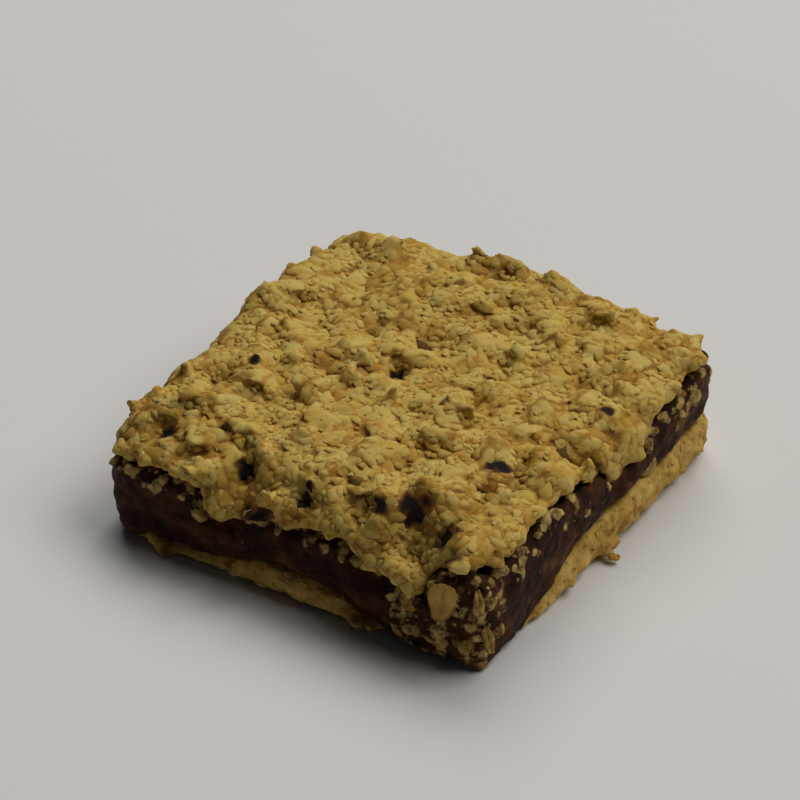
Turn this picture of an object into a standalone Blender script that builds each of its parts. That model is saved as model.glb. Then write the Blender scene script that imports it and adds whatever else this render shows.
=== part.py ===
"""A date square, as baked and cut by hand: an oat base, a date filling and a crumble topping.

X and Y run along the cut sides and Z is up. The last step moves the origin under the middle.
"""

import math
import random

import bmesh
import bpy
from mathutils import Euler, Matrix, Vector, noise

MM = 0.001

# The square seen from above: where its cut sides stand, and how far each corner is rounded
X_SIDES = (-33.5 * MM, 32.3 * MM)
Y_SIDES = (-33.2 * MM, 35.0 * MM)
CORNER_RADII = {
    (-1, -1): 6.0 * MM,
    (1, -1): 3.5 * MM,
    (1, 1): 6.5 * MM,
    (-1, 1): 9.0 * MM,
}
SHARPEST = 0.8 * MM

# Heights inside the square, where the layers lie flat on each other
BASE_TOP = 5.6 * MM
FILLING_TOP = 14.2 * MM
TOPPING_TOP = 19.8 * MM
GAP = 0.3 * MM
CLEARANCE = 0.45 * MM

# How a layer's rim is rounded: its lip lies in from the side, and its flat part starts further in
LIP_INSET = 0.9 * MM
FLAT_INSET = 4.5 * MM
SHOULDER_INSET = 1.8 * MM
SHOULDER_DROP = 1.0 * MM

# How the crumble's top falls away towards the side at -Y: how much at the side, and how far in it starts
FRONT_FALL = 2.8 * MM
FRONT_REACH = 12.0 * MM

# How it falls away at the corner -X -Y: how much, and how far the fall spreads
CORNER_FALL = 3.6 * MM
CORNER_SPREAD = 7.0 * MM

# Each layer's side, outwards from the square's outline, and the depth of its unevenness
BASE_OUT, BASE_ROUGH = 0.3 * MM, 0.7 * MM
FILLING_OUT, FILLING_ROUGH = -0.2 * MM, 0.6 * MM
TOPPING_OUT, TOPPING_ROUGH = -0.4 * MM, 0.6 * MM

# Points round each layer
SIDE_POINTS = 26
TOP_POINTS = 44

# The rims tilt a little: both layers are cut thicker towards +X
BASE_TILT = 1.9 * MM
FILLING_TILT = 1.5 * MM

# Where the base is this thin or thinner at its rim, the filling hangs down over it
THIN_BASE = 1.7 * MM
THINNEST_BASE = 0.9 * MM
TUCK = 2.4 * MM
HANG = 0.75 * MM

# Where the filling sinks down over the base's corners: x, y, depth, reach, softness, in mm
BASE_DIPS = (
    (32, -33, 7.0, 21, 3.5),
    (-32, -33, 2.5, 24, 1.2),
    (-32, 33, 2.0, 12, 3.0),
)

# Where crumble has spilled down the cut sides: x, y, drop, spread, in mm. Below 0, the filling stands up
SPILLS = (
    (-12, -33, 6.0, 4.0),
    (-1.5, -33, 3.6, 6.5),
    (13, -33, 5.4, 4.5),
    (20.5, -33, 7.6, 3.6),
    (29, -32, -1.6, 3.5),
    (32, -14, -1.8, 4.0),
    (32, 4, 6.2, 3.0),
    (32, 11, 5.6, 4.5),
    (32, 27, -1.8, 4.0),
    (17, 34, 4.0, 5.0),
    (-9, 34, 3.0, 6.0),
    (-33, 15, 4.5, 5.0),
    (-33, -9, 3.0, 6.0),
)

# Swells in the crumble: x, y, height, spread, in mm
MOUNDS = (
    (19, -25, 3.4, 7.0),
    (28, -9, 1.7, 4.5),
    (13, -10, 1.2, 6.0),
    (-22, 27, 0.8, 6.0),
    (3, 33, 2.8, 13.0),
    (-33, 9, 2.4, 9.0),
    (24, 16, 1.0, 6.0),
    (-16, -3, 0.9, 7.0),
    (-2, -20, 0.8, 7.0),
    (-13, 18, 0.8, 4.0),
)

# Holes and cracks in the crumble: x, y, depth, spread along X, spread along Y, turn in degrees, in mm
HOLES = (
    (-9.0, -29.5, 4.0, 1.7, 1.5, 0),
    (-6.0, -32.5, 3.5, 2.6, 1.4, 0),
    (19.5, -31.0, 6.0, 3.4, 2.0, 0),
    (24.5, -16.5, 5.5, 1.2, 3.2, -15),
    (30.5, -1.0, 4.5, 1.8, 1.6, 0),
    (26.0, -3.2, 2.8, 2.2, 1.0, 20),
    (29.5, 4.5, 3.0, 1.2, 1.2, 0),
    (-3.0, 0.0, 3.0, 1.2, 1.2, 0),
    (-4.0, 9.0, 2.6, 1.2, 1.4, 0),
    (-12.5, 8.5, 2.2, 2.2, 1.5, 30),
    (1.0, -30.0, 2.2, 1.6, 1.3, 0),
    (-20.0, 17.0, 2.5, 1.3, 1.6, 0),
    (8.0, 19.0, 2.4, 1.4, 1.4, 0),
    (-25.0, -15.0, 2.6, 1.4, 1.6, 0),
)

# The crumble's grain: packed domes, and how far they stand out
GRAIN_SIZE = 3.6 * MM
TOP_GRAIN = 1.3 * MM
SIDE_GRAIN = 0.9 * MM

# The least crumble over the filling, as in a hole
THINNEST_CRUMBLE = 1.0 * MM

# The largest lumps of crumble, placed one by one: x, y, z, radius, in mm
LARGE_LUMPS = (
    (29.6, -28.4, 18.2, 3.0),
    (26.4, -30.6, 19.2, 2.3),
    (30.4, -24.6, 18.4, 2.4),
    (20.6, -32.7, 12.2, 2.9),
    (17.4, -33.2, 13.6, 2.4),
    (14.2, -33.0, 12.6, 2.1),
    (30.6, 27.6, 18.6, 2.8),
    (27.6, 0.8, 19.6, 1.7),
    (29.3, -10.5, 19.4, 2.9),
    (25.6, -8.0, 20.6, 2.6),
    (17.0, -24.5, 21.2, 3.0),
    (21.0, -22.0, 20.8, 2.4),
    (12.5, -27.5, 20.2, 2.6),
    (13.5, -11.5, 20.6, 2.8),
    (31.0, 9.4, 15.6, 2.2),
    (-12.6, -33.0, 11.6, 2.2),
    (-20.0, 31.0, 19.4, 2.6),
    (-28.0, 27.0, 18.4, 2.4),
    (-14.0, 18.5, 20.6, 2.4),
    (24.0, 17.0, 20.4, 2.6),
    (-30.4, -27.0, 16.2, 2.3),
)

# Smaller lumps, strewn by rule over the top and round the rim
STREWN_SEED = 43
TOP_LUMPS = 66
TOP_SPACING = 4.8 * MM
TOP_RADIUS = (1.5 * MM, 2.4 * MM)
RIM_LUMPS = 48
RIM_RADIUS = (1.2 * MM, 2.0 * MM)
RIM_LOWEST_ABOVE_FILLING = 1.0 * MM
RIM_HIGHEST = 18.8 * MM
LUMP_STANDS_OUT = 0.2
LUMP_CRAGS = 0.42

# Faces that the crumble may keep
MOST_TOPPING_FACES = 9400

# A rolled oat flake
FLAKE_LENGTH = (4.6 * MM, 6.2 * MM)
FLAKE_WIDTH_SHARE = (0.66, 0.8)
FLAKE_THICKNESS = 0.7 * MM
FLAKE_SIDES = 8
FLAKE_BEND = 0.5 * MM
TOP_FLAKES = 28
FLAKE_MOST_TILT = 50

# Flakes pressed into the filling near the corner +X -Y: x, y, z, turn, lean, length, in mm and degrees
FILLING_FLAKES = (
    (26.4, -33.5, 12.4, 84, 2, 6.0),
    (30.6, -32.6, 12.6, 90, 52, 5.4),
    (31.9, -30.9, 7.2, 96, 62, 5.0),
    (23.6, -33.5, 4.4, 12, 4, 4.6),
    (27.4, -33.4, 4.2, 60, 8, 4.8),
    (28.6, -33.3, 8.0, 30, 14, 3.8),
    (20.0, -33.4, 3.6, 90, -4, 3.0),
    (22.8, -33.5, 8.6, 130, -4, 3.2),
)

# Crumbs and oats that stand out of the base's side: x, y, z, radius, in mm
BASE_CRUMBS = (
    (32.9, 0.4, 1.3, 1.3),
    (34.0, 1.2, 0.9, 0.8),
    (32.8, 6.4, 4.6, 1.6),
    (32.8, 20.0, 3.4, 1.7),
    (32.4, 26.5, 4.0, 1.6),
    (32.8, -9.0, 2.2, 1.3),
    (13.6, -33.6, 1.1, 1.0),
    (11.0, -33.6, 1.3, 1.1),
    (0.5, -33.6, 3.0, 1.5),
    (-5.0, -33.4, 1.6, 1.1),
    (7.0, 34.4, 3.2, 1.6),
    (-14.0, 34.4, 3.0, 1.5),
    (-33.6, 6.0, 3.0, 1.6),
    (-33.5, 18.0, 2.4, 1.4),
)
FLOOR_CLEARANCE = 0.1 * MM

# Colours of the three layers: red, green, blue, and then roughness
MATERIALS = {
    "oat_base": ((0.36, 0.22, 0.09), 0.85),
    "date_filling": ((0.035, 0.017, 0.013), 0.45),
    "crumble_topping": ((0.50, 0.34, 0.15), 0.9),
}


def clear_scene():
    for obj in list(bpy.data.objects):
        bpy.data.objects.remove(obj)


def unevenness(point, wavelength, depth, layer=0):
    """Smooth noise from -depth to depth that repeats about every wavelength."""
    return depth * noise.noise(point / wavelength + Vector((0, 0, 17.0 * layer)))


def grain(point, height):
    """Packed domes with creases between them."""
    nearest = noise.voronoi(point / GRAIN_SIZE)[0][0]
    return height * (0.6 - min(nearest / 0.7, 1.2) ** 2)


def bell(x, y, spread_x, spread_y):
    """1 in the middle, falling away like a bell over the spreads."""
    return math.exp(-((x / spread_x) ** 2) - (y / spread_y) ** 2)


def corner_radius(u, v):
    return CORNER_RADII[1 if u > 0 else -1, 1 if v > 0 else -1]


def place(u, v, outwards):
    """The point of the square at u and v, which run from -1 to 1. Near a corner it is pulled onto the arc."""
    share = max(abs(u), abs(v), 1e-6)
    half_x = (X_SIDES[1] - X_SIDES[0]) / 2 + outwards
    half_y = (Y_SIDES[1] - Y_SIDES[0]) / 2 + outwards
    radius = share * max(corner_radius(u, v) + outwards, SHARPEST)
    x, y = u * half_x, v * half_y
    past_x = abs(x) - (share * half_x - radius)
    past_y = abs(y) - (share * half_y - radius)
    if past_x > 0 and past_y > 0:
        pull = max(past_x, past_y) / math.hypot(past_x, past_y)
        x = math.copysign(share * half_x - radius + past_x * pull, x)
        y = math.copysign(share * half_y - radius + past_y * pull, y)
    return x + sum(X_SIDES) / 2, y + sum(Y_SIDES) / 2


def inside(x, y):
    """How far a point lies inside the square's outline."""
    u, v = x - sum(X_SIDES) / 2, y - sum(Y_SIDES) / 2
    radius = corner_radius(u, v)
    past_x = abs(u) - ((X_SIDES[1] - X_SIDES[0]) / 2 - radius)
    past_y = abs(v) - ((Y_SIDES[1] - Y_SIDES[0]) / 2 - radius)
    beyond = math.hypot(max(past_x, 0), max(past_y, 0))
    return radius - beyond - min(max(past_x, past_y), 0)


def outline(outwards, count):
    """Points (x, y) round the square in equal steps, anticlockwise from its corner at -X -Y."""
    steps = [2 * i / count - 1 for i in range(count)]
    sides = (
        [(t, -1) for t in steps],
        [(1, t) for t in steps],
        [(-t, 1) for t in steps],
        [(-1, -t) for t in steps],
    )
    return [place(u, v, outwards) for side in sides for u, v in side]


def base_rim(x, y):
    """Height at which the base's side ends and the filling's begins."""
    height = BASE_TOP + BASE_TILT * x / X_SIDES[1]
    for dip_x, dip_y, depth, reach, softness in BASE_DIPS:
        distance = math.hypot(x / MM - dip_x, y / MM - dip_y)
        height -= depth * MM / (1 + math.exp((distance - reach) / softness))
    height += unevenness(Vector((x, y, 0)), 7 * MM, 1.0 * MM, 1)
    return max(height, THINNEST_BASE)


def tucked(x, y):
    """1 where the base is so thin that the filling hangs over it, 0 where it stands clear."""
    return min(max((THIN_BASE - base_rim(x, y)) / (0.7 * THIN_BASE), 0), 1)


def filling_rim(x, y):
    """Height at which the filling's side ends and the crumble's begins."""
    height = FILLING_TOP + FILLING_TILT * x / X_SIDES[1]
    for spill_x, spill_y, drop, spread in SPILLS:
        height -= drop * MM * bell(x / MM - spill_x, y / MM - spill_y, spread, spread)
    return height + unevenness(Vector((x, y, 0)), 5 * MM, 0.9 * MM, 2)


def filling_height(x, y):
    """Height of the filling's top, from its rim down or up to its flat part."""
    share = min(max((inside(x, y) - LIP_INSET) / (FLAT_INSET - LIP_INSET), 0), 1)
    return (1 - share) * filling_rim(x, y) + share * FILLING_TOP


def in_hole(x, y):
    """From 0 outside the crumble's holes to 1 in the middle of one, and the depth of the hole there."""
    most, depth = 0.0, 0.0
    for hole_x, hole_y, hole_depth, spread_x, spread_y, turn in HOLES:
        across = Vector((x / MM - hole_x, y / MM - hole_y)) @ Matrix.Rotation(math.radians(turn), 2)
        share = bell(across.x, across.y, spread_x, spread_y)
        most = max(most, share)
        depth = max(depth, share * hole_depth * MM)
    return most, depth


def fallen_away(x, y):
    """How far the crumble's top has sunk towards the side at -Y and the corner -X -Y."""
    share = min(max(1 - (y - Y_SIDES[0]) / FRONT_REACH, 0), 1)
    corner = bell(x - X_SIDES[0], y - Y_SIDES[0], CORNER_SPREAD, CORNER_SPREAD)
    return FRONT_FALL * share**1.5 + CORNER_FALL * corner


def crumble_height(x, y):
    """Height of the crumble's own grain, under its loose lumps."""
    point = Vector((x, y, 0))
    height = TOPPING_TOP - SHOULDER_DROP * math.exp(-max(inside(x, y) - SHOULDER_INSET, 0) / (2 * MM))
    height -= fallen_away(x, y)
    for mound_x, mound_y, rise, spread in MOUNDS:
        height += rise * MM * bell(x / MM - mound_x, y / MM - mound_y, spread, spread)
    height += unevenness(point, 7 * MM, 0.9 * MM, 3) + unevenness(point, 2.2 * MM, 0.5 * MM, 5)
    height += grain(point, TOP_GRAIN) - in_hole(x, y)[1]
    return max(height, filling_height(x, y) + THINNEST_CRUMBLE)


def ring(build, count, outwards, height_at, rough=0.0, layer=0, tuck=0.0, grained=0.0):
    """Adds one closed ring of points. height_at gives z from x and y, and the rest moves them in or out."""
    points = []
    middle = Vector((sum(X_SIDES) / 2, sum(Y_SIDES) / 2, 0))
    for x, y in outline(outwards, count):
        point = Vector((x, y, height_at(x, y)))
        away = Vector((x, y, 0)) - middle
        push = unevenness(point, 4 * MM, rough, layer) + unevenness(point, 15 * MM, rough, layer + 1)
        push += grain(point, grained) - tuck * tucked(x, y)
        points.append(build.verts.new(point + away.normalized() * push))
    return points


def skin(build, rings):
    """Joins each ring to the next, from the underside out, up the side and in again."""
    for lower, upper in zip(rings, rings[1:]):
        for i in range(len(lower)):
            j = (i + 1) % len(lower)
            build.faces.new((lower[i], lower[j], upper[j], upper[i]))


def cap_with_grid(build, edge, count, outwards, height_at):
    """Closes a ring with a grid of the same spacing, laid at height_at(x, y)."""
    grid = {}
    for k in range(count):
        grid[k, 0] = edge[k]
        grid[count, k] = edge[count + k]
        grid[count - k, count] = edge[2 * count + k]
        grid[0, count - k] = edge[3 * count + k]
    for i in range(1, count):
        for j in range(1, count):
            x, y = place(2 * i / count - 1, 2 * j / count - 1, outwards)
            grid[i, j] = build.verts.new((x, y, height_at(x, y)))
    for i in range(count):
        for j in range(count):
            build.faces.new((grid[i, j], grid[i + 1, j], grid[i + 1, j + 1], grid[i, j + 1]))


def finished(build, name):
    """Makes the mesh an object of that name."""
    bmesh.ops.triangulate(build, faces=build.faces)
    mesh = bpy.data.meshes.new(name)
    build.to_mesh(mesh)
    build.free()
    obj = bpy.data.objects.new(name, mesh)
    bpy.context.scene.collection.objects.link(obj)
    return obj


def make_base():
    """The pressed oat layer that the square stands on. Its underside is flat."""
    build = bmesh.new()

    def share_of_rim(share):
        return lambda x, y: share * base_rim(x, y)

    rings = [
        ring(build, SIDE_POINTS, -LIP_INSET, lambda x, y: 0.0, tuck=TUCK),
        ring(build, SIDE_POINTS, BASE_OUT, share_of_rim(0.25), BASE_ROUGH, 4, TUCK),
        ring(build, SIDE_POINTS, BASE_OUT, share_of_rim(0.72), BASE_ROUGH, 4, TUCK),
        ring(build, SIDE_POINTS, -LIP_INSET, base_rim, tuck=TUCK),
        ring(build, SIDE_POINTS, -FLAT_INSET, lambda x, y: BASE_TOP),
    ]
    skin(build, rings)
    build.faces.new(list(reversed(rings[0])))
    build.faces.new(rings[-1])
    return finished(build, "oat_base")


def make_filling(grown=0.0, name="date_filling"):
    """The sticky date layer. Grown, it is the space that the crumble keeps clear of."""
    build = bmesh.new()
    side = FILLING_OUT + grown

    def between(share):
        return lambda x, y: (1 - share) * base_rim(x, y) + share * filling_rim(x, y)

    def hem(x, y):
        return base_rim(x, y) + GAP - grown - HANG * tucked(x, y)

    rings = [
        ring(build, SIDE_POINTS, -FLAT_INSET, lambda x, y: BASE_TOP + GAP - grown),
        ring(build, SIDE_POINTS, -LIP_INSET, lambda x, y: base_rim(x, y) + GAP - grown, tuck=TUCK / 2),
        ring(build, SIDE_POINTS, side - 0.3 * MM, hem),
        ring(build, SIDE_POINTS, side, between(0.2), FILLING_ROUGH, 6),
        ring(build, SIDE_POINTS, side + 0.4 * MM, between(0.55), FILLING_ROUGH, 6),
        ring(build, SIDE_POINTS, side, between(0.9), FILLING_ROUGH, 6),
        ring(build, SIDE_POINTS, -LIP_INSET, lambda x, y: filling_rim(x, y) + grown),
        ring(build, SIDE_POINTS, -FLAT_INSET, lambda x, y: FILLING_TOP + grown),
    ]
    skin(build, rings)
    build.faces.new(list(reversed(rings[0])))
    build.faces.new(rings[-1])
    return finished(build, name)


def make_topping_core():
    """The packed crumble under its loose lumps. Its side follows the filling's rim."""
    build = bmesh.new()

    def side_top(x, y):
        height = TOPPING_TOP - SHOULDER_DROP - fallen_away(x, y) - in_hole(x, y)[1]
        return max(height, filling_rim(x, y) + THINNEST_CRUMBLE)

    def between(share):
        return lambda x, y: (1 - share) * filling_rim(x, y) + share * side_top(x, y)

    rings = [
        ring(build, TOP_POINTS, -FLAT_INSET, lambda x, y: FILLING_TOP + GAP),
        ring(build, TOP_POINTS, -LIP_INSET, lambda x, y: filling_rim(x, y) + GAP),
        ring(build, TOP_POINTS, TOPPING_OUT, between(0.16), TOPPING_ROUGH, 8, grained=SIDE_GRAIN),
        ring(build, TOP_POINTS, TOPPING_OUT, between(0.4), TOPPING_ROUGH, 8, grained=SIDE_GRAIN),
        ring(build, TOP_POINTS, TOPPING_OUT, between(0.75), TOPPING_ROUGH, 8, grained=SIDE_GRAIN),
        ring(build, TOP_POINTS, -SHOULDER_INSET, crumble_height),
    ]
    skin(build, rings)
    build.faces.new(list(reversed(rings[0])))
    cap_with_grid(build, rings[-1], TOP_POINTS, -SHOULDER_INSET, crumble_height)
    return finished(build, "crumble_topping")


def make_lump(centre, radius, turn, detail):
    """A craggy lump: a sphere of few faces with its points pushed in and out."""
    build = bmesh.new()
    bmesh.ops.create_icosphere(build, subdivisions=detail, radius=1)
    shape = Euler(turn).to_matrix() @ Matrix.Diagonal((1.1, 0.95, 0.75))
    for vert in build.verts:
        crag = 1 + LUMP_CRAGS * noise.noise(vert.co * 1.3 + centre / MM)
        vert.co = centre + shape @ (vert.co * crag * radius)
        vert.co.z = max(vert.co.z, FLOOR_CLEARANCE)
    return finished(build, "lump")


def make_flake(centre, length, width, turn, tilt, heading, thickness=FLAKE_THICKNESS):
    """A rolled oat: a thin oval plate with a slight bend. tilt leans it from flat towards heading."""
    build = bmesh.new()
    rims = []
    for half in (-0.5 * thickness, 0.5 * thickness):
        rim = []
        for k in range(FLAKE_SIDES):
            angle = 2 * math.pi * (k + 0.5) / FLAKE_SIDES
            x, y = 0.5 * length * math.cos(angle), 0.5 * width * math.sin(angle)
            bend = FLAKE_BEND * (math.cos(angle) ** 2 - 0.5)
            rim.append(build.verts.new((x, y, half + bend)))
        rims.append(rim)
    skin(build, rims)
    build.faces.new(list(reversed(rims[0])))
    build.faces.new(rims[1])
    lean = Matrix.Rotation(heading, 4, "Z") @ Matrix.Rotation(tilt, 4, "Y") @ Matrix.Rotation(turn, 4, "Z")
    bmesh.ops.transform(build, matrix=Matrix.Translation(centre) @ lean, verts=build.verts)
    return finished(build, "flake")


def far_from(spots, x, y, spacing):
    return all(math.hypot(x - other_x, y - other_y) >= spacing for other_x, other_y in spots)


def strewn_lumps(draw):
    """Lumps over the top, no two closer than the spacing and none in a hole."""
    pieces, spots, tries = [], [], 0
    while len(spots) < TOP_LUMPS and tries < 6000:
        tries += 1
        x, y = draw.uniform(*X_SIDES), draw.uniform(*Y_SIDES)
        radius = draw.uniform(*TOP_RADIUS)
        turn = [draw.uniform(0, 2 * math.pi) for _ in range(3)]
        if inside(x, y) < radius or in_hole(x, y)[0] > 0.25 or not far_from(spots, x, y, TOP_SPACING):
            continue
        spots.append((x, y))
        centre = Vector((x, y, crumble_height(x, y) + LUMP_STANDS_OUT * radius))
        pieces.append(make_lump(centre, radius, turn, 1))
    return pieces


def rim_lumps(draw):
    """Lumps round the crumble's side, down to where it has spilled over the filling."""
    pieces = []
    side = outline(TOPPING_OUT, TOP_POINTS)
    for k in range(RIM_LUMPS):
        step = (k + draw.uniform(0, 0.8)) * len(side) / RIM_LUMPS
        x, y = side[int(step) % len(side)]
        radius = draw.uniform(*RIM_RADIUS)
        turn = [draw.uniform(0, 2 * math.pi) for _ in range(3)]
        lowest = filling_rim(x, y) + RIM_LOWEST_ABOVE_FILLING
        z = lowest + draw.random() ** 1.5 * max(RIM_HIGHEST - lowest, 0)
        if in_hole(x, y)[0] < 0.4:
            pieces.append(make_lump(Vector((x, y, z)), radius, turn, 1))
    return pieces


def strewn_flakes(draw):
    """Oat flakes that lie or lean half sunk in the top."""
    pieces, spots, tries = [], [], 0
    while len(spots) < TOP_FLAKES and tries < 4000:
        tries += 1
        x, y = draw.uniform(*X_SIDES), draw.uniform(*Y_SIDES)
        length = draw.uniform(*FLAKE_LENGTH)
        width = length * draw.uniform(*FLAKE_WIDTH_SHARE)
        turn, heading = draw.uniform(0, math.pi), draw.uniform(0, 2 * math.pi)
        tilt = math.radians(draw.uniform(5, FLAKE_MOST_TILT))
        if inside(x, y) < 0.6 * length or in_hole(x, y)[0] > 0.2 or not far_from(spots, x, y, 8 * MM):
            continue
        spots.append((x, y))
        centre = Vector((x, y, crumble_height(x, y) + 0.9 * MM))
        pieces.append(make_flake(centre, length, width, turn, tilt, heading))
    return pieces


def filling_flakes(grown=0.0):
    """Oats on the filling's side. Each stands on edge, and lean turns it from facing -Y towards +X."""
    pieces = []
    for x, y, z, turn, lean, length in FILLING_FLAKES:
        heading = math.radians(lean - 90)
        centre = Vector((x, y, z)) * MM
        size = length * MM + 2 * grown, 0.72 * length * MM + 2 * grown
        angles = math.radians(turn), math.radians(90), heading
        pieces.append(make_flake(centre, *size, *angles, FLAKE_THICKNESS + 2 * grown))
    return pieces


def large_lumps():
    return [
        make_lump(Vector((x, y, z)) * MM, radius * MM, (0.3 * x, 0.2 * y, z), 2)
        for x, y, z, radius in LARGE_LUMPS
    ]


def base_crumbs():
    """Crumbs on the base's side, kept below its rim so that they stay clear of the filling."""
    pieces = []
    for x, y, z, radius in BASE_CRUMBS:
        centre = Vector((x, y, z)) * MM
        centre.z = min(centre.z, base_rim(centre.x, centre.y) - GAP - radius * MM)
        pieces.append(make_lump(centre, radius * MM, (0.3 * x, 0.2 * y, z), 1))
    return pieces


def collected(pieces, name):
    group = bpy.data.collections.new(name)
    bpy.context.scene.collection.children.link(group)
    for piece in pieces:
        bpy.context.scene.collection.objects.unlink(piece)
        group.objects.link(piece)
    return group


def apply_modifiers(obj):
    graph = bpy.context.evaluated_depsgraph_get()
    result = bpy.data.meshes.new_from_object(obj.evaluated_get(graph))
    obj.modifiers.clear()
    obj.data = result


def boolean(obj, operation, pieces):
    """Applies one Boolean with all the pieces, then removes them."""
    group = collected(pieces, obj.name + "_pieces")
    modifier = obj.modifiers.new("joined", "BOOLEAN")
    modifier.operation = operation
    modifier.operand_type = "COLLECTION"
    modifier.collection = group
    modifier.solver = "EXACT"
    apply_modifiers(obj)
    for piece in list(group.objects):
        bpy.data.objects.remove(piece)
    bpy.data.collections.remove(group)
    keep_largest_shell(obj)


def keep_largest_shell(obj):
    """Drops loose scraps, and the walls of any hollow that the joining sealed."""
    build = bmesh.new()
    build.from_mesh(obj.data)
    left, shells = set(build.verts), []
    while left:
        shell, front = set(), [left.pop()]
        while front:
            vert = front.pop()
            shell.add(vert)
            near = {edge.other_vert(vert) for edge in vert.link_edges} & left
            left -= near
            front.extend(near)
        shells.append(shell)
    largest = max(shells, key=len)
    bmesh.ops.delete(build, geom=[vert for vert in build.verts if vert not in largest])
    bmesh.ops.triangulate(build, faces=build.faces)
    build.to_mesh(obj.data)
    build.free()


def thin_out(obj, most_faces):
    """Merges the shortest edges, most of them left by the joining, until the faces are few enough."""
    now = len(obj.data.polygons)
    if now > most_faces:
        obj.modifiers.new("fewer", "DECIMATE").ratio = most_faces / now
        apply_modifiers(obj)


def colour(obj):
    rgb, roughness = MATERIALS[obj.name]
    material = bpy.data.materials.new(obj.name)
    material.use_nodes = True
    shader = material.node_tree.nodes["Principled BSDF"]
    shader.inputs["Base Color"].default_value = (*rgb, 1)
    shader.inputs["Roughness"].default_value = roughness
    shader.inputs["Metallic"].default_value = 0
    obj.data.materials.clear()
    obj.data.materials.append(material)


def stand_at_origin(objects):
    """Moves the meshes so that the middle of the whole square's box is over the origin."""
    corners = [vert.co for obj in objects for vert in obj.data.vertices]
    low = Vector(min(corner[axis] for corner in corners) for axis in range(3))
    high = Vector(max(corner[axis] for corner in corners) for axis in range(3))
    middle = (low + high) / 2
    shift = Matrix.Translation((-middle.x, -middle.y, -low.z))
    for obj in objects:
        obj.data.transform(shift)


def main():
    clear_scene()
    draw = random.Random(STREWN_SEED)

    base = make_base()
    boolean(base, "UNION", base_crumbs())

    filling = make_filling()
    boolean(filling, "UNION", filling_flakes())

    topping = make_topping_core()
    lumps = large_lumps() + strewn_lumps(draw) + rim_lumps(draw)
    boolean(topping, "UNION", lumps + strewn_flakes(draw))
    clear_of = [make_filling(CLEARANCE, "clearance")] + filling_flakes(CLEARANCE)
    boolean(topping, "DIFFERENCE", clear_of)
    thin_out(topping, MOST_TOPPING_FACES)

    layers = [base, filling, topping]
    stand_at_origin(layers)
    for layer in layers:
        colour(layer)


main()
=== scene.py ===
"""The looks of the date square: crumble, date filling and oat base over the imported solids."""

import math

import bmesh
import bpy
import numpy as np
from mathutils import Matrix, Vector, noise
from mathutils.bvhtree import BVHTree
from mathutils.kdtree import KDTree

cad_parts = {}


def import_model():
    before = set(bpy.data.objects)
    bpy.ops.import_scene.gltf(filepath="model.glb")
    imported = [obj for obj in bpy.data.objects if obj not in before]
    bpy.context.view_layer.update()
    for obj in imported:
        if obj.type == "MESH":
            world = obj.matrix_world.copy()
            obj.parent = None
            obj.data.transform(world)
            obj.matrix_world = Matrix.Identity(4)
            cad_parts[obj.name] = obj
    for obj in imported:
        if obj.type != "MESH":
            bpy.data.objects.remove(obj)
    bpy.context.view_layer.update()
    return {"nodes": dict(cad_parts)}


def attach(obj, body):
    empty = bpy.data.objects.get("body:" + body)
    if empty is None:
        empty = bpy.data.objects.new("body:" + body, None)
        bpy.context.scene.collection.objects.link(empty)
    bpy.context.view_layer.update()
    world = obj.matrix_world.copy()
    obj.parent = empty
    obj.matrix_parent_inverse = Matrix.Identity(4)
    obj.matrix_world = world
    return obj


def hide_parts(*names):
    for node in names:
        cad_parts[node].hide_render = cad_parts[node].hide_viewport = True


MM = 0.001

# The point on the floor that the places below are measured from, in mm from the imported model's origin
SHIFT = np.array((0.206, -0.268, 0.0))

# Camera: where it stands, its lens in mm, and how far right and up of the square's middle it looks
CAMERA_AZIMUTH, CAMERA_ELEVATION = 32.5, 35.5
CAMERA_DISTANCE = 590 * MM
LENS = 180.0
FRAME_RIGHT, FRAME_UP = -2.2 * MM, 13.3 * MM

# Light: three soft lights high up, on the camera's right, behind on the right and behind, and hardly any
# sky. Each comes from a direction, with its power in watts
SKY = (0.85, 0.9, 1.0)
SKY_STRENGTH = 0.022
LIGHT_DISTANCE, LIGHT_SIZE = 2.4, 1.66
LIGHTS = {
    "right": {"from": (0.62, 0.34, 1.0), "power": 24.2, "colour": (1.0, 0.985, 0.96)},
    "back_right": {"from": (0.15, 0.68, 1.0), "power": 12.6, "colour": (1.0, 0.99, 0.97)},
    "back": {"from": (-0.42, 0.66, 1.0), "power": 19.8, "colour": (1.0, 0.99, 0.97)},
}
FLOOR_COLOUR = (0.715, 0.70, 0.675)
FLOOR_SIZE = 6.0

# Seeds. Without one of its own, Blender's vector noise differs from run to run
DRAW_SEED, NOISE_SEED, FLAKE_SEED, SIDE_FLAKE_SEED = 7, 1, 3, 11

# The size of the clumps that the crumble has baked together in, and of the broken chunks on them
CLUMP = 5.6 * MM
CHUNK = 2.4 * MM

# The crumble's relief in mm: its clumps, the gaps between them, the chunks, and holes where the date shows
CLUMP_HEIGHT, GAP_DEPTH, CHUNK_HEIGHT, HOLE_DEPTH = 0.5, 0.4, 0.12, 0.5

# How much of the gaps between clumps is filled with crumbs too
GAP_SHARE = 0.35

# How often each packed form is smoothed, and how far it is drawn in to make room for what is fused on
CRUMBLE_SMOOTHING, FILLING_SMOOTHING, BASE_SMOOTHING = 20, 3, 3
CRUMBLE_DRAWN_IN, FILLING_DRAWN_IN, BASE_DRAWN_IN = 0.35 * MM, 0, 0.4 * MM

# Voxels that the layers' forms are remade with, before and after pieces are fused on
FORM_VOXEL = 0.55 * MM
CRUMBLE_VOXEL = 0.44 * MM
FILLING_VOXEL = 0.48 * MM
BASE_VOXEL = 0.45 * MM

# How far the tops of packed chips stand over what they lie on, and the share of the rest that's pressed back
FUSED_TOP, LOOSE_TOP = 0.3 * MM, 0.22 * MM
PRESSED = 0.7

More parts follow.
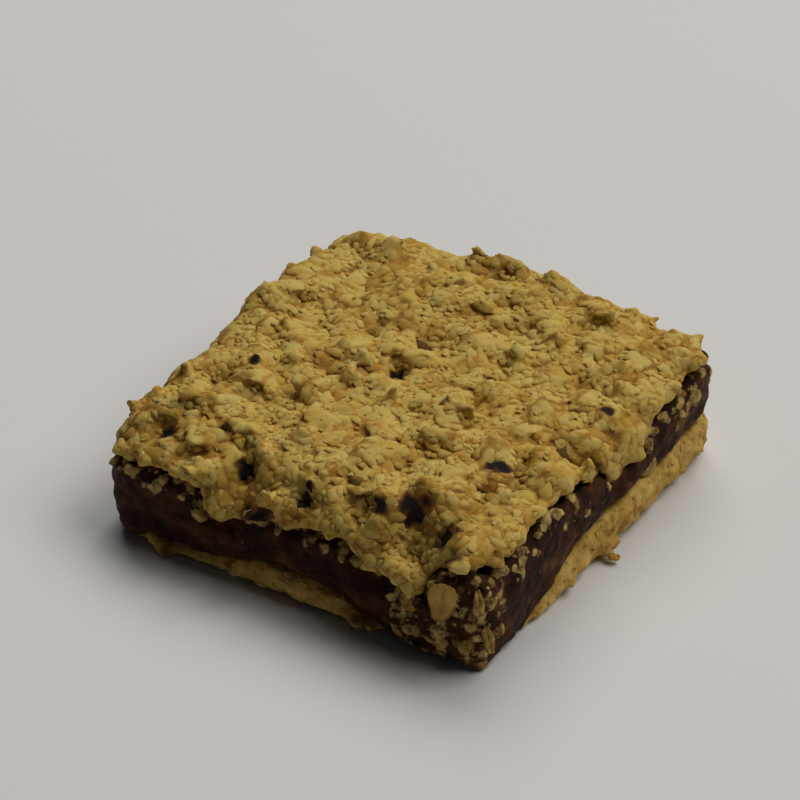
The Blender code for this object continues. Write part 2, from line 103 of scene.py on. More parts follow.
# Pieces of each kind.
# tries, most: how many spots are tried, and how many kept at most
# radius, spacing: the radius from and to, and how far apart pieces lie, in radii
# shapes, flat: how many shapes, their subdivisions and their seed, and their thickness against their width
# top, sunk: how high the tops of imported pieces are, or how deep scattered ones sink, in radii
# tilt: how far they lean, from and to, in radians. Those without it lie turned every way
FUSED_CHIPS = {
    "tries": 24000, "most": 2600, "radius": (1.2 * MM, 2.3 * MM), "spacing": 0.95,
    "shapes": (16, 2, 12), "flat": 0.65, "top": FUSED_TOP, "tilt": (0, 0.35),
}
FUSED_CRUMBS = {
    "tries": 24000, "most": 1500, "radius": (0.7 * MM, 1.2 * MM), "spacing": 1.5,
    "shapes": (16, 2, 12), "flat": 0.85, "top": 0.8 * FUSED_TOP, "tilt": (0, 0.6),
}
LOOSE_CHIPS = {
    "tries": 16000, "most": 1900, "radius": (0.8 * MM, 1.9 * MM), "spacing": 1.05,
    "shapes": (16, 2, 12), "flat": 0.7, "top": LOOSE_TOP, "tilt": (0, 0.5),
}
MEDIUM_CRUMBS = {
    "tries": 12000, "most": 1300, "radius": (0.4 * MM, 0.8 * MM), "spacing": 1.5,
    "shapes": (16, 2, 12), "flat": 0.85, "top": LOOSE_TOP, "tilt": (0, 0.6),
}
FINE_CRUMBS = {
    "tries": 9000, "most": 1000, "radius": (0.13 * MM, 0.32 * MM), "spacing": 1.7,
    "shapes": (10, 1, 4), "flat": 1.0, "sunk": 0.35,
}
CORNER_OATS = {
    "tries": 4000, "most": 420, "radius": (0.8 * MM, 2.0 * MM), "spacing": 0.95,
    "shapes": (14, 2, 22), "flat": 0.5, "sunk": -0.12, "tilt": (0, 0.6),
}
CORNER_CRUMBS = {
    "tries": 2000, "most": 110, "radius": (0.35 * MM, 1.0 * MM), "spacing": 1.6,
    "shapes": (14, 2, 21), "flat": 0.5, "sunk": 0.1, "tilt": (0, 0.5),
}
BASE_CHIPS = {
    "tries": 4000, "most": 700, "radius": (0.9 * MM, 2.2 * MM), "spacing": 1.1,
    "shapes": (12, 3, 8), "flat": 0.45, "tilt": (0, 0.6),
}
BASE_CRUMBS = {
    "tries": 5000, "most": 1000, "radius": (0.25 * MM, 0.7 * MM), "spacing": 1.7,
    "shapes": (14, 2, 9), "flat": 1.0, "sunk": 0.35,
}

# Rolled oats: how many lie on top, how many shapes they have, and what one measures. They are made thicker,
# since voxels and the paste take some of it away. OUT is how far an oat's middle stands out. REACH is how
# far from the middle of the top they lie, in mm
FLAKES_ON_TOP, FLAKE_SHAPES = 32, 14
FLAKE_LENGTH = (4.4 * MM, 6.4 * MM)
FLAKE_WIDTH_SHARE = (0.6, 0.78)
FLAKE_THICKNESS, FLAKE_THICKER = 0.5 * MM, 1.7
FLAKE_MEAN_LENGTH = 5.2 * MM
FLAKE_CREASE, SIDE_FLAKE_CREASE = 0.02, 0.035
FLAKE_OUT, SIDE_FLAKE_OUT = (0.35 * MM, 0.75 * MM), 0.55 * MM
FLAKE_TILT = (0.05, 0.35)
FLAKE_SPACING = 4.8 * MM
FLAKE_REACH = 29

# Holes where the date shows: x, y, half width and half depth in mm, turn in degrees
HOLES = (
    (-10.5, -28.0, 1.8, 1.4, 0),
    (-6.0, -32.5, 2.6, 1.4, 0),
    (-24.5, -27.5, 1.4, 1.2, 0),
    (-17.0, -24.8, 1.4, 0.9, 0),
    (-16.2, -21.7, 1.0, 0.9, 0),
    (-21.2, -10.0, 0.9, 0.8, 0),
    (-3.2, 0.3, 1.2, 1.1, 0),
    (-4.0, 9.0, 0.9, 1.0, 0),
    (9.0, 6.5, 1.2, 0.8, 0),
    (27.6, 7.5, 1.1, 1.1, 0),
    (30.5, -1.0, 1.6, 1.4, 0),
    (26.0, -3.2, 2.0, 0.9, 20),
    (21.6, -12.5, 2.8, 1.1, 35),
    (22.2, -17.3, 0.9, 1.2, 0),
    (17.0, -27.2, 2.8, 1.5, 10),
    (13.2, -29.3, 1.6, 1.0, 0),
    (24.0, -28.8, 1.6, 1.4, 0),
    (1.0, -30.0, 1.2, 1.0, 0),
    (26.8, -33.0, 1.9, 1.6, 0),
    (-12.4, 7.7, 1.0, 0.7, 0),
)

# Oats on the filling's side: x, y, z and length in mm, width share, turn and lean in degrees, and how far
# each is coated with date
FILLING_FLAKES = (
    (26.5, -33.6, 12.4, 6.4, 1.15, 84, 2, 0.2),
    (31.2, -32.9, 12.8, 5.0, 0.5, 94, 50, 0.35),
    (32.0, -31.6, 6.6, 4.6, 0.6, 100, 50, 0.4),
)

# Orange spots on the base: x, y, z and reach in mm. The first lies where the real square has an orange stub
# sticking out on the right, and only colours that place
ORANGE_SPOTS = (
    (36.0, -3.0, 3.0, 1.9),
    (34.8, 2.6, 8.9, 1.5),
    (34.8, 4.6, 8.2, 1.0),
    (3.3, -34.3, 5.5, 1.8),
    (-24.1, -34.3, 3.0, 1.6),
)

# How far the crumble's shading is turned towards that of its calm form, and how far a chip keeps its own
SOFTNESS = 0.5
CHIP_SHAPE = 0.5

# Colours. ORANGE_BROWN and DEEP_BROWN also stand for painted shade in the crumble's gaps, cracks and hollows
# and at its crumbs' feet
DATE_DARK = (0.016, 0.006, 0.005)
DEEP_BROWN = (0.13, 0.05, 0.004)
ORANGE_BROWN = (0.42, 0.205, 0.02)
TOASTED = (0.49, 0.285, 0.04)
GOLD = (0.53, 0.365, 0.073)
CREAM = (0.60, 0.455, 0.137)
DATE_FILM = (0.09, 0.045, 0.012)
DATE_SPECK = (0.16, 0.095, 0.035)
ORANGE_SPOT = (0.60, 0.29, 0.03)

# Colour ramps: place and colour of each stop
CRUMBLE_RAMP = ((0.0, TOASTED), (0.4, GOLD), (1.0, CREAM))
FLAKE_RAMP = (
    (0.0, TOASTED),
    (0.4, (0.54, 0.35, 0.065)),
    (0.75, (0.60, 0.42, 0.10)),
    (1.0, (0.66, 0.49, 0.15)),
)
OAT_RAMP = ((0.3, (0.14, 0.075, 0.02)), (0.5, (0.38, 0.25, 0.08)), (0.7, (0.60, 0.44, 0.16)))
PASTE_RAMP = (
    (0.36, (0.016, 0.007, 0.005)),
    (0.50, (0.037, 0.014, 0.007)),
    (0.60, (0.085, 0.031, 0.011)),
    (0.72, (0.17, 0.068, 0.02)),
)
BASE_RAMP = (
    (0.0, (0.10, 0.04, 0.008)),
    (0.25, (0.30, 0.14, 0.018)),
    (0.5, (0.49, 0.28, 0.048)),
    (1.0, (0.69, 0.455, 0.105)),
)


# Meshes as arrays


def points_of(mesh):
    flat = np.empty(len(mesh.vertices) * 3, np.float32)
    mesh.vertices.foreach_get("co", flat)
    return flat.reshape(-1, 3).astype(float)


def normals_of(mesh):
    flat = np.empty(len(mesh.vertices) * 3, np.float32)
    mesh.vertex_normals.foreach_get("vector", flat)
    return flat.reshape(-1, 3).astype(float)


def edges_of(mesh):
    flat = np.empty(len(mesh.edges) * 2, np.int32)
    mesh.edges.foreach_get("vertices", flat)
    return flat.reshape(-1, 2)


def set_points(mesh, points):
    mesh.vertices.foreach_set("co", points.astype(np.float32).ravel())
    mesh.update()


def set_values(mesh, name, values):
    """Keeps one number or vector a point, for the materials to read."""
    values = np.asarray(values, np.float32)
    if values.ndim == 1:
        mesh.attributes.new(name, "FLOAT", "POINT").data.foreach_set("value", values)
    else:
        mesh.attributes.new(name, "FLOAT_VECTOR", "POINT").data.foreach_set("vector", values.ravel())


def mesh_of(name, points, faces):
    mesh = bpy.data.meshes.new(name)
    mesh.vertices.add(len(points))
    mesh.vertices.foreach_set("co", points.astype(np.float32).ravel())
    mesh.loops.add(faces.size)
    mesh.loops.foreach_set("vertex_index", faces.astype(np.int32).ravel())
    mesh.polygons.add(len(faces))
    mesh.polygons.foreach_set("loop_start", np.arange(len(faces), dtype=np.int32) * faces.shape[1])
    mesh.update(calc_edges=True)
    mesh.polygons.foreach_set("use_smooth", np.ones(len(faces), bool))
    return mesh


def add_object(name, mesh, material):
    obj = bpy.data.objects.new(name, mesh)
    bpy.context.scene.collection.objects.link(obj)
    mesh.materials.clear()
    mesh.materials.append(material)
    return obj


def triangles_of(mesh):
    mesh.calc_loop_triangles()
    flat = np.empty(len(mesh.loop_triangles) * 3, np.int32)
    mesh.loop_triangles.foreach_get("vertices", flat)
    return flat.reshape(-1, 3)


def remeshed(name, mesh, voxel, material):
    """One fine, even skin round everything in a mesh."""
    obj = add_object(name, mesh, material)
    modifier = obj.modifiers.new("even", "REMESH")
    modifier.mode = "VOXEL"
    modifier.voxel_size = voxel
    modifier.use_smooth_shade = True
    graph = bpy.context.evaluated_depsgraph_get()
    result = bpy.data.meshes.new_from_object(obj.evaluated_get(graph))
    obj.modifiers.clear()
    obj.data = result
    result.materials.clear()
    result.materials.append(material)
    return obj


def halved(quads):
    """Each quad as two triangles."""
    return np.concatenate([quads[:, :3], quads[:, [0, 2, 3]]])


def joined(parts):
    """One mesh of several (points, triangles) parts."""
    starts = np.cumsum([0] + [len(points) for points, _ in parts[:-1]])
    triangles = [faces + start for (_, faces), start in zip(parts, starts)]
    return mesh_of("joined", np.concatenate([points for points, _ in parts]), np.concatenate(triangles))


def smoothed(points, edges, rounds, keep=0.0):
    """The points, each moved rounds times to the middle of its neighbours."""
    count = np.bincount(edges.ravel(), minlength=len(points))[:, None]
    result = points.copy()
    for _ in range(rounds):
        total = np.empty_like(result)
        for axis in range(3):
            column = result[:, axis]
            total[:, axis] = np.bincount(edges[:, 0], column[edges[:, 1]], len(points)) + np.bincount(
                edges[:, 1], column[edges[:, 0]], len(points)
            )
        result = keep * result + (1 - keep) * total / count
    return result


# Noise on arrays of points


def noise_at(points, wavelength, seed=0.0):
    away = Vector((seed, 1.7 * seed, 0.3 * seed))
    scaled = points / wavelength
    return np.array([noise.noise(Vector(point) + away) for point in scaled])


def chunks_at(points, size, seed=0.0):
    """Broken chunks: each has its own height and slope, with a crease round it."""
    away = Vector((seed, 1.7 * seed, 0.3 * seed))
    relief = np.empty(len(points))
    for i, point in enumerate(points / size):
        where = Vector(point) + away
        (near, other, *_), (middle, *_) = noise.voronoi(where)
        slope = noise.noise_vector(7.3 * middle).dot(where - middle)
        crease = math.exp(-(((other - near) / 0.2) ** 2))
        relief[i] = 0.5 * noise.noise(3.1 * middle) + 0.9 * slope - 0.5 * crease
    return relief


def clumps_at(points):
    """Clumps baked together: their relief, each a low dome at its own height, and up to 1 in the gaps."""
    relief, gaps = np.empty(len(points)), np.empty(len(points))
    for i, point in enumerate(points / CLUMP):
        where = Vector(point)
        where += 0.3 * noise.noise_vector(1.4 * where) + 0.1 * noise.noise_vector(4.5 * where)
        (near, other, *_), (middle, *_) = noise.voronoi(where)
        gaps[i] = math.exp(-(((other - near) / 0.13) ** 2))
        relief[i] = 0.8 * noise.noise(3.1 * middle) + 0.5 * (0.4 - near)
    return relief, gaps


def in_holes(points):
    """From 0 away from the crumble's holes to 1 in the middle of one."""
    most = np.zeros(len(points))
    for x, y, half_x, half_y, turn in HOLES:
        angle = math.radians(turn)
        across = points[:, :2] / MM - SHIFT[:2] - (x, y)
        u = across[:, 0] * math.cos(angle) + across[:, 1] * math.sin(angle)
        v = across[:, 1] * math.cos(angle) - across[:, 0] * math.sin(angle)
        most = np.maximum(most, np.exp(-0.5 * ((u / half_x) ** 2 + (v / half_y) ** 2)))
    return most


# Scattering


def surface_samples(mesh, count, draw, keep):
    """Random points and normals on the faces that keep(centres, normals) picks."""
    corners = points_of(mesh)[triangles_of(mesh)]
    cross = np.cross(corners[:, 1] - corners[:, 0], corners[:, 2] - corners[:, 0])
    area = np.linalg.norm(cross, axis=1)
    normals = cross / np.maximum(area, 1e-18)[:, None]
    weight = area * keep(corners.mean(axis=1), normals)
    picked = draw.choice(len(weight), count, p=weight / weight.sum())
    a, b = draw.random((2, count))
    flip = a + b > 1
    a, b = np.where(flip, 1 - a, a)[:, None], np.where(flip, 1 - b, b)[:, None]
    first, second, third = corners[picked].transpose(1, 0, 2)
    return first + a * (second - first) + b * (third - first), normals[picked]


def spread_out(spots, reach, most):
    """Which spots to keep so that no two are nearer than the mean of their reaches."""
    cell = reach.max()
    cells = np.floor(spots / cell).astype(int)
    grid, kept = {}, []
    steps = [(x, y, z) for x in (-1, 0, 1) for y in (-1, 0, 1) for z in (-1, 0, 1)]
    for i, (a, b, c) in enumerate(cells):
        near = [j for x, y, z in steps for j in grid.get((a + x, b + y, c + z), ())]
        if near:
            away = np.linalg.norm(spots[near] - spots[i], axis=1)
            if (away < 0.5 * (reach[near] + reach[i])).any():
                continue
        grid.setdefault((a, b, c), []).append(i)
        kept.append(i)
        if len(kept) == most:
            break
    return np.array(kept)


def random_turns(count, draw):
    """Rotation matrices, evenly random."""
    quats = draw.normal(size=(count, 4))
    quats /= np.linalg.norm(quats, axis=1)[:, None]
    w, x, y, z = quats.T
    rows = [
        [1 - 2 * (y * y + z * z), 2 * (x * y - w * z), 2 * (x * z + w * y)],
        [2 * (x * y + w * z), 1 - 2 * (x * x + z * z), 2 * (y * z - w * x)],
        [2 * (x * z - w * y), 2 * (y * z + w * x), 1 - 2 * (x * x + y * y)],
    ]
    return np.array(rows).transpose(2, 0, 1)


def lying(normals, tilt, draw):
    """Rotation matrices that lay a piece's Z along the normals, tilted and turned at random."""
    lean = draw.normal(size=normals.shape)
    up = normals + np.tan(tilt)[:, None] * lean / np.linalg.norm(lean, axis=1)[:, None]
    up /= np.linalg.norm(up, axis=1)[:, None]
    side = np.cross(up, draw.normal(size=normals.shape))
    side /= np.linalg.norm(side, axis=1)[:, None]
    return np.stack([side, np.cross(up, side), up], axis=2)


def crag_shapes(count, detail, seed, flat):
    """Broken crumbs of radius 1: rough, lumpy balls with facets cut all round, flattened to chips."""
    draw = np.random.default_rng(seed)
    shapes = []
    for k in range(count):
        build = bmesh.new()
        bmesh.ops.create_icosphere(build, subdivisions=detail, radius=1)
        points = np.array([vert.co for vert in build.verts])
        faces = np.array([[vert.index for vert in face.verts] for face in build.faces])
        build.free()
        points *= (1.08 + 0.45 * noise_at(points, 0.9, 3.1 * k + seed))[:, None]
        for _ in range(9):
            cut = draw.normal(size=3) * (1, 1, flat)
            cut /= np.linalg.norm(cut)
            past = np.maximum(points @ cut - draw.uniform(0.46, 0.82), 0)
            points -= past[:, None] * cut
        points *= 1 + 0.04 * draw.normal(size=(len(points), 1))
        points[:, 2] *= flat
        points[:, 2] += (1 - flat) * draw.uniform(-0.3, 0.3) * points[:, 0] ** 2
        shapes.append((points, faces))
    return shapes


def flake_shapes(count, seed, crease_depth):
    """Rolled oats of length 1: wavy ovals with a crease, some split at one end."""
    draw = np.random.default_rng(seed)
    around, rows = 28, 5
    angles = 2 * np.pi * np.arange(around) / around
    shapes = []
    for k in range(count):
        width = draw.uniform(*FLAKE_WIDTH_SHARE)
        wobble = np.ones(around)
        for height, waves in ((0.09, 2), (0.06, 3), (0.03, 7)):
            wobble += height * np.sin(waves * angles + draw.uniform(0, 6))
        wobble += 0.02 * draw.normal(size=around)
        wobble -= draw.uniform(0, 0.16) * np.exp(-(((angles + 0.35) % (2 * np.pi) - 0.35) / 0.18) ** 2)
        bend, twist = draw.uniform(-0.2, 0.35), draw.uniform(-0.2, 0.2)
        points, browning_and_shade = [], []
        for side in (1, -1):
            for row in range(rows + 1):
                share = row / rows
                x = 0.5 * share * wobble * np.cos(angles)
                y = 0.5 * share * wobble * width * np.sin(angles)
                thick = 0.5 * FLAKE_THICKNESS / FLAKE_MEAN_LENGTH * math.sqrt(1 - 0.92 * share**4)
                crease = crease_depth * np.exp(-((y / 0.05) ** 2)) * (side == 1)
                ripple = 0.012 * np.sin(11 * x + 5 * y + k)
                z = side * thick - crease + bend * x * x + twist * x * y + ripple
                points.append(np.stack([x, y, z], 1))
                # warmer towards the outline, and painted shade along the crease on top
                browning_and_shade.append(np.maximum(share, np.exp(-((y / 0.03) ** 2)) * (side == 1)))
        faces = []
        for side in (0, 1):
            start = side * (rows + 1) * around
            for row in range(rows):
                for i in range(around):
                    a, b = start + row * around + i, start + row * around + (i + 1) % around
                    quad = [a, b, b + around, a + around]
                    faces.append(quad[::-1] if side == 0 else quad)
        last = rows * around
        for i in range(around):
            a, b = last + i, last + (i + 1) % around
            other = (rows + 1) * around
            faces.append([a, b, b + other, a + other])
        shapes.append((np.concatenate(points), np.array(faces), np.concatenate(browning_and_shade)))
    return shapes


def placed(shapes, centres, turns, sizes):
    """Points and faces of many copies of some shapes, each point's copy, and the shape's browning and
    painted shade at the point, or 0 where it has none.
    """
    kinds = np.arange(len(centres)) % len(shapes)
    points, faces, owners, browning_and_shade_values = [], [], [], []
    start = 0
    for kind, shape in enumerate(shapes):
        chosen = np.flatnonzero(kinds == kind)
        if not len(chosen):
            continue
        size = len(shape[0])
        moved = np.einsum("mij,nj->mni", turns[chosen] * sizes[chosen][:, None, :], shape[0])
        points.append((moved + centres[chosen][:, None, :]).reshape(-1, 3))
        offsets = start + size * np.arange(len(chosen))
        faces.append((shape[1][None] + offsets[:, None, None]).reshape(-1, shape[1].shape[1]))
        owners.append(np.repeat(chosen, size))
        browning_and_shade_values.append(np.tile(shape[2] if len(shape) > 2 else np.zeros(size), len(chosen)))
        start += size * len(chosen)
    return np.concatenate(points), np.concatenate(faces), np.concatenate(owners), np.concatenate(browning_and_shade_values)


def scattered(name, copies, material, values, smooth=True):
    """A piece made of placed copies. values holds, for each attribute, one number or vector a copy."""
    points, faces, owners, browning_and_shade_values = copies
    mesh = mesh_of(name, points, faces)
    mesh.polygons.foreach_set("use_smooth", np.full(len(faces), smooth))
    for key, numbers in values.items():
        set_values(mesh, key, numbers[owners])
    # browning and painted shade for each point: crumbs' feet and oats' creases
    set_values(mesh, "browning_and_shade", browning_and_shade_values)
    return add_object(name, mesh, material)


# Materials


class Nodes:
    """Shortens the making of a material's nodes."""

    # The inputs and output in use of a Mix node, which has sockets for numbers, vectors and colours in turn
    VECTOR_SOCKETS = (4, 5, 1)
    COLOUR_SOCKETS = (6, 7, 2)

    def __init__(self, name):
        self.material = bpy.data.materials.new(name)
        self.material.use_nodes = True
        self.tree = self.material.node_tree
        self.shader = self.tree.nodes["Principled BSDF"]

    def add(self, kind, **settings):
        node = self.tree.nodes.new(kind)
        for key, value in settings.items():
            setattr(node, key, value)
        return node

    def link(self, output, socket):
        self.tree.links.new(output, socket)

    def value(self, name):
        node = self.add("ShaderNodeAttribute", attribute_name=name)
        return node.outputs["Fac"]

    def place(self):
        return self.add("ShaderNodeTexCoord").outputs["Object"]

    def noise(self, wavelength, detail=3.0, roughness=0.55, distortion=0.0, stretch=None):
        node = self.add("ShaderNodeTexNoise")
        where = self.place()
        if stretch:
            scaled = self.add("ShaderNodeMapping")
            scaled.inputs["Scale"].default_value = stretch
            self.link(where, scaled.inputs["Vector"])
            where = scaled.outputs["Vector"]
        self.link(where, node.inputs["Vector"])
        node.inputs["Scale"].default_value = 1 / wavelength
        node.inputs["Detail"].default_value = detail
        node.inputs["Roughness"].default_value = roughness
        node.inputs["Distortion"].default_value = distortion
        return node.outputs["Fac"]

    def cells(self, size):
        node = self.add("ShaderNodeTexVoronoi", feature="F1")
        self.link(self.place(), node.inputs["Vector"])
        node.inputs["Scale"].default_value = 1 / size
        return node.outputs["Distance"]

    def cracks(self, size, wander):
        """From 0 in the cracks between grains up to their middles. The grains' edges wander."""
        shift = self.add("ShaderNodeTexNoise")
        self.link(self.place(), shift.inputs["Vector"])
        shift.inputs["Scale"].default_value = 0.8 / size
        moved = self.add("ShaderNodeVectorMath", operation="MULTIPLY_ADD")
        self.link(shift.outputs["Color"], moved.inputs[0])
        moved.inputs[1].default_value = (2 * wander, 2 * wander, 2 * wander)
        self.link(self.place(), moved.inputs[2])
        node = self.add("ShaderNodeTexVoronoi", feature="DISTANCE_TO_EDGE")
        self.link(moved.outputs["Vector"], node.inputs["Vector"])
        node.inputs["Scale"].default_value = 1 / size
        return node.outputs["Distance"]

    def math(self, operation, a, b, c=0.0):
        node = self.add("ShaderNodeMath", operation=operation)
        for socket, value in zip(node.inputs, (a, b, c)):
            if isinstance(value, (int, float)):
                socket.default_value = value
            else:
                self.link(value, socket)
        return node.outputs["Value"]

    def around(self, value, weight):
        """A value from 0 to 1 turned into one that varies round 0 by half the weight."""
        return self.math("MULTIPLY", self.math("SUBTRACT", value, 0.5), weight)

    def between(self, value, low, high, to_low=0.0, to_high=1.0):
        node = self.add("ShaderNodeMapRange")
        self.link(value, node.inputs["Value"])
        for key, number in (("From Min", low), ("From Max", high), ("To Min", to_low), ("To Max", to_high)):
            node.inputs[key].default_value = number
        return node.outputs["Result"]

    def ramp(self, value, stops):
        node = self.add("ShaderNodeValToRGB")
        ramp = node.color_ramp
        while len(ramp.elements) < len(stops):
            ramp.elements.new(0.5)
        for element, (place, colour) in zip(ramp.elements, stops):
            element.position = place
            element.color = (*colour, 1)
        self.link(value, node.inputs["Fac"])
        return node.outputs["Color"]

    def mix(self, share, under, over):
        """One colour with some of another over it, which may be the same everywhere."""
        node = self.add("ShaderNodeMix", data_type="RGBA")
        first, second, result = self.COLOUR_SOCKETS
        self.link(share, node.inputs["Factor"])
        self.link(under, node.inputs[first])
        if isinstance(over, tuple):
            node.inputs[second].default_value = (*over, 1)
        else:
            self.link(over, node.inputs[second])
        return node.outputs[result]

    def bump(self, height, distance, strength, under=None):
        node = self.add("ShaderNodeBump")
        node.inputs["Strength"].default_value = strength
        node.inputs["Distance"].default_value = distance
        self.link(height, node.inputs["Height"])
        if under is not None:
            self.link(under, node.inputs["Normal"])
        return node.outputs["Normal"]

    def softened(self, normal, share):
        """The normal turned partly to that of the calm form, as light that spreads inside softens crumbs."""
        calm = self.add("ShaderNodeAttribute", attribute_name="calm")
        node = self.add("ShaderNodeMix", data_type="VECTOR")
        node.inputs["Factor"].default_value = share
        first, second, result = self.VECTOR_SOCKETS
        self.link(normal, node.inputs[first])
        self.link(calm.outputs["Vector"], node.inputs[second])
        unit = self.add("ShaderNodeVectorMath", operation="NORMALIZE")
        self.link(node.outputs[result], unit.inputs[0])
        return unit.outputs["Vector"]

    def finish(self, colour, normal, roughness):
        self.link(colour, self.shader.inputs["Base Color"])
        self.link(normal, self.shader.inputs["Normal"])
        if isinstance(roughness, float):
            self.shader.inputs["Roughness"].default_value = roughness
        else:
            self.link(roughness, self.shader.inputs["Roughness"])
        return self.material


def crumble_material():
    """Baked crumble: gold and cream, painted lighter where it stands out, with browning and painted shade at
    each crumb's foot, orange-brown stain and painted shade in the gaps, and painted shade in the cracks and
    hollows.
    """
    make = Nodes("crumble")
    height, tint = make.value("height"), make.value("tint")
    grit = make.noise(0.8 * MM, 4.0, 0.65)
    patches = make.noise(7 * MM, 2.0)
    # painted light and shade: the crumble is lighter where it stands out and darker where it lies in
    level = make.math("MULTIPLY_ADD", height, 0.12, 0.58)
    for part, weight in ((grit, 0.15), (patches, 0.55), (tint, 0.4)):
        level = make.math("ADD", level, make.around(part, weight))
    colour = make.ramp(level, CRUMBLE_RAMP)
    browned = make.between(make.noise(3.2 * MM, 4.0, 0.65), 0.55, 0.72, 0.0, 0.5)
    colour = make.mix(browned, colour, ORANGE_BROWN)
    # browning and painted shade at each crumb's foot, where it meets what it lies on
    foot_browning_and_shade = make.math("ADD", make.value("browning_and_shade"), make.around(grit, 0.8))
    colour = make.mix(make.between(foot_browning_and_shade, 0.5, 1.1, 0.0, 0.75), colour, ORANGE_BROWN)
    colour = make.mix(make.between(foot_browning_and_shade, 0.95, 1.3, 0.0, 0.6), colour, DEEP_BROWN)
    # orange-brown stain and painted shade in the gaps between clumps
    gap_stain_and_shade = make.math("MULTIPLY", make.value("gap_stain_and_shade"), make.between(patches, 0.35, 0.6, 0.35, 1.0))
    colour = make.mix(make.between(gap_stain_and_shade, 0.05, 0.5, 0.0, 0.65), colour, ORANGE_BROWN)
    colour = make.mix(make.between(gap_stain_and_shade, 0.45, 0.9, 0.0, 0.7), colour, DEEP_BROWN)
    cracks = make.cracks(1.9 * MM, 0.5 * MM)
    some = make.between(make.noise(2.7 * MM, 2.0), 0.42, 0.6)
    # painted shade: thin orange-brown lines in some of the cracks between grains
    painted_crack_shade = make.math("MULTIPLY", make.between(cracks, 0.10, 0.0), some)
    colour = make.mix(make.math("MULTIPLY", painted_crack_shade, 0.45), colour, ORANGE_BROWN)
    # painted shade: deep brown in the hollows, where the height is low
    colour = make.mix(make.between(height, 0.3, 0.1, 0.0, 0.7), colour, DEEP_BROWN)
    date = make.value("date")
    colour = make.mix(make.between(date, 0.0, 0.5, 0.0, 0.85), colour, DEEP_BROWN)
    colour = make.mix(make.between(date, 0.4, 0.9), colour, DATE_DARK)
    rough = make.bump(make.between(cracks, 0.0, 0.3), 0.2 * MM, 0.12)
    rough = make.bump(make.noise(0.6 * MM, 3.0, 0.6), 0.15 * MM, 0.15, rough)
    make.shader.inputs["Specular IOR Level"].default_value = 0.2
    return make.finish(colour, make.softened(rough, SOFTNESS), 0.82)


def flake_material():
    """Rolled oats: creamy middle, painted shade along the crease, and warmer edges."""
    make = Nodes("oat_flakes")
    fibre = make.noise(0.5 * MM, 3.0, 0.6)
    colour = make.ramp(make.math("ADD", make.value("tint"), make.around(fibre, 0.5)), FLAKE_RAMP)
    # warmer edges, and painted shade in the crease
    colour = make.mix(make.between(make.value("browning_and_shade"), 0.75, 1.0, 0.0, 0.45), colour, ORANGE_BROWN)
    browned = make.between(make.noise(2.6 * MM, 3.0, 0.6), 0.58, 0.72, 0.0, 0.6)
    colour = make.mix(browned, colour, ORANGE_BROWN)
    coated = make.math("ADD", make.value("date"), make.noise(1.6 * MM, 4.0, 0.65))
    colour = make.mix(make.between(coated, 0.75, 1.05), colour, DATE_FILM)
    return make.finish(colour, make.bump(fibre, 0.12 * MM, 0.7), 0.7)


def filling_material():
    """Sticky date paste: near black and reddish brown, with a low gloss."""
    make = Nodes("date_paste")
    patches = make.noise(5 * MM, 3.0, 0.6, 0.6)
    drag = make.noise(1.5 * MM, 4.0, 0.6, 0.3, stretch=(0.45, 0.45, 1.0))
    level = make.math("ADD", make.math("MULTIPLY", patches, 0.6), make.math("MULTIPLY", drag, 0.4))
    colour = make.ramp(level, PASTE_RAMP)
    specks = make.between(make.cells(1.3 * MM), 0.10, 0.22, 1.0, 0.0)
    some = make.between(make.noise(2.3 * MM, 1.0), 0.55, 0.62)
    colour = make.mix(make.math("MULTIPLY", specks, some), colour, DATE_SPECK)
    grit = make.noise(1.3 * MM, 4.0, 0.65)
    bare = make.math("ADD", make.value("oat"), make.around(grit, 1.2))
    colour = make.mix(make.between(bare, 0.25, 0.6), colour, make.ramp(grit, OAT_RAMP))
    normal = make.bump(drag, 0.6 * MM, 0.8)
    normal = make.bump(make.noise(0.5 * MM, 3.0), 0.2 * MM, 0.7, normal)
    roughness = make.between(make.noise(2.0 * MM, 2.0), 0.35, 0.65, 0.42, 0.7)
    make.shader.inputs["Specular IOR Level"].default_value = 0.05
    return make.finish(colour, normal, roughness)


def base_material():
    """Pressed oat base: tan with orange spots, painted lighter where it stands out and with painted shade in
    its pits.
    """
    make = Nodes("pressed_oats")
    # the height paints shade into the pits and light where the base stands out
    level = make.value("height")
    grit = make.noise(0.9 * MM, 4.0, 0.65)
    patches = make.noise(3.4 * MM, 3.0, 0.6)
    for part, weight in ((grit, 0.9), (patches, 1.3), (make.value("tint"), 0.5)):
        level = make.math("ADD", level, make.around(part, weight))
    colour = make.ramp(level, BASE_RAMP)
    spots = make.between(make.noise(2.6 * MM, 3.0, 0.6), 0.60, 0.68)
    colour = make.mix(make.math("MAXIMUM", spots, make.value("orange")), colour, ORANGE_SPOT)
    return make.finish(colour, make.bump(make.noise(0.35 * MM, 4.0, 0.7), 0.25 * MM, 0.8), 0.85)


# The pieces


def calmed(mesh, rounds):
    """A smoother copy of a mesh."""
    calm = mesh.copy()
    set_points(calm, smoothed(points_of(calm), edges_of(calm), rounds))
    return calm


def stands_out(points, edges, normals, rounds, span):
    """0.5 where the surface is level, 1 where it stands out by half the span, 0 where it lies in as far."""
    calm = smoothed(points, edges, rounds)
    return 0.5 + np.einsum("ij,ij->i", points - calm, normals) / span


def tree_of(points):
    tree = KDTree(len(points))
    for i, point in enumerate(points):
        tree.insert(point, i)
    tree.balance()
    return tree


